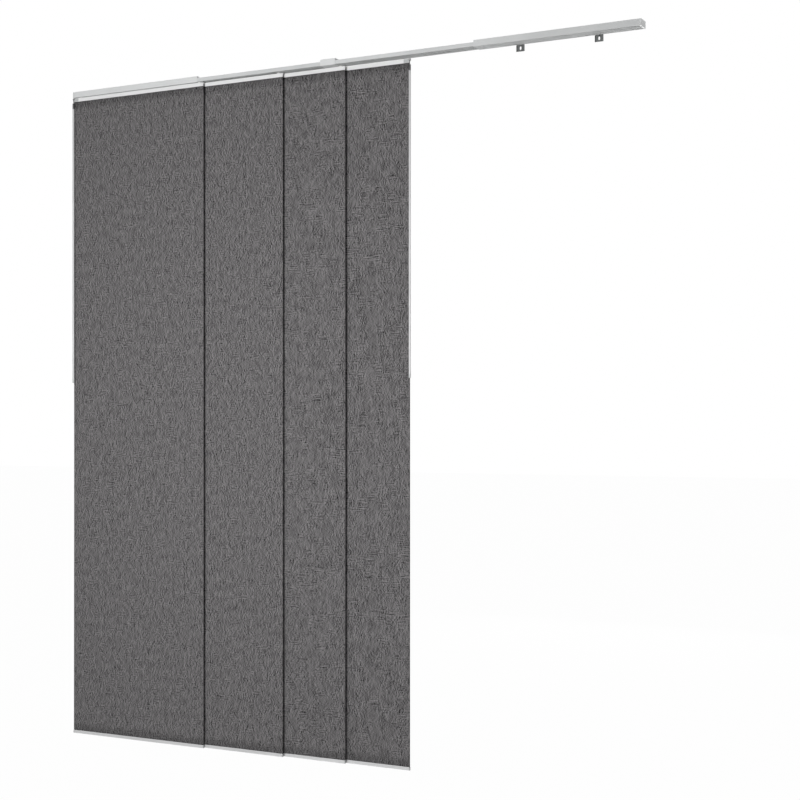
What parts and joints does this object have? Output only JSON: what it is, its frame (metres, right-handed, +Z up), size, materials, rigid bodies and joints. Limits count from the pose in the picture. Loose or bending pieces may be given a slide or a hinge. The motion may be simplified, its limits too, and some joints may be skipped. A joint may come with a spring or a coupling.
{
  "type": "panel track blind",
  "caption": "Sliding panel track blind: linen-look fabric panels with bottom rails on a wall-hung telescoping multi-lane track, drawn by hanging wands.",
  "frame": {"origin": "on the wall plane, half way along the drawn-out track, at the middle height of the bracket slots", "axes": "+X along the track to the right as seen from the room, +Y into the wall, +Z up"},
  "size_m": [2.246, 0.057, 2.4347],
  "materials": {
    "track": "satin",
    "channel": "satin",
    "cap": "matte",
    "rail_cap": "matte",
    "bracket": "satin",
    "steel": "satin",
    "head_rail": "satin",
    "nylon": "matte",
    "tape": "matte",
    "fabric": "matte",
    "bottom_rail": "satin",
    "wand": "satin",
    "ferrule": "matte",
    "wire": "satin"
  },
  "bodies": {
    "left_track": {"left_outer_track": "track", "left_end_cap": "cap", "wall_bracket_1": "bracket", "wall_bracket_2": "bracket", "left_clamp_plates": "steel", "left_clamp_screws": "steel"},
    "middle_track": {"left_inner_channels": "channel", "right_inner_channels": "channel", "track_joiner": "track", "joiner_set_screws": "steel"},
    "right_track": {"right_outer_track": "track", "right_end_cap": "cap", "wall_bracket_3": "bracket", "wall_bracket_4": "bracket", "right_clamp_plates": "steel", "right_clamp_screws": "steel"},
    "panel_1": {"panel_1_head_rail": "head_rail", "panel_1_gliders": "nylon", "panel_1_left_cap": "cap", "panel_1_right_cap": "rail_cap", "panel_1_hook_tape": "tape", "panel_1_fabric": "fabric", "panel_1_bottom_rail": "bottom_rail", "panel_1_bottom_caps": "cap"},
    "panel_2": {"panel_2_head_rail": "head_rail", "panel_2_gliders": "nylon", "panel_2_left_cap": "rail_cap", "panel_2_right_cap": "rail_cap", "panel_2_hook_tape": "tape", "panel_2_fabric": "fabric", "panel_2_bottom_rail": "bottom_rail", "panel_2_bottom_caps": "cap"},
    "panel_3": {"panel_3_head_rail": "head_rail", "panel_3_gliders": "nylon", "panel_3_left_cap": "rail_cap", "panel_3_right_cap": "rail_cap", "panel_3_hook_tape": "tape", "panel_3_fabric": "fabric", "panel_3_bottom_rail": "bottom_rail", "panel_3_bottom_caps": "cap"},
    "panel_4": {"panel_4_head_rail": "head_rail", "panel_4_gliders": "nylon", "panel_4_left_cap": "rail_cap", "panel_4_right_cap": "cap", "panel_4_hook_tape": "tape", "panel_4_fabric": "fabric", "panel_4_bottom_rail": "bottom_rail", "panel_4_bottom_caps": "cap"},
    "left_wand": {"left_wand_hook": "wire", "left_wand_ferrule": "ferrule", "left_wand_shaft": "wand", "left_wand_tip": "cap"},
    "right_wand": {"right_wand_hook": "wire", "right_wand_ferrule": "ferrule", "right_wand_shaft": "wand", "right_wand_tip": "cap"}
  },
  "joints": [
    {"name": "left_telescope", "type": "slide", "parent": "left_track", "child": "middle_track", "axis": [1, 0, 0], "range_m": [-0.517, 0]},
    {"name": "right_telescope", "type": "slide", "parent": "middle_track", "child": "right_track", "axis": [1, 0, 0], "range_m": [-0.5235, 0]},
    {"name": "panel_1_slide", "type": "slide", "parent": "left_track", "child": "panel_1", "axis": [1, 0, 0], "range_m": [0, 1.6485]},
    {"name": "panel_2_slide", "type": "slide", "parent": "left_track", "child": "panel_2", "axis": [1, 0, 0], "range_m": [-0.33, 1.3185]},
    {"name": "panel_3_slide", "type": "slide", "parent": "left_track", "child": "panel_3", "axis": [1, 0, 0], "range_m": [-0.576, 1.0725]},
    {"name": "panel_4_slide", "type": "slide", "parent": "left_track", "child": "panel_4", "axis": [1, 0, 0], "range_m": [-0.821, 0.8275]},
    {"name": "left_wand_swing", "type": "hinge", "parent": "panel_1", "child": "left_wand", "pos_m": [-1.11925, -0.05305, 0.00525], "axis": [0, -1, 0], "range_deg": [-45, 45]},
    {"name": "right_wand_swing", "type": "hinge", "parent": "panel_4", "child": "right_wand", "pos_m": [0.29675, -0.01485, 0.00525], "axis": [0, -1, 0], "range_deg": [0, 45]}
  ]
}
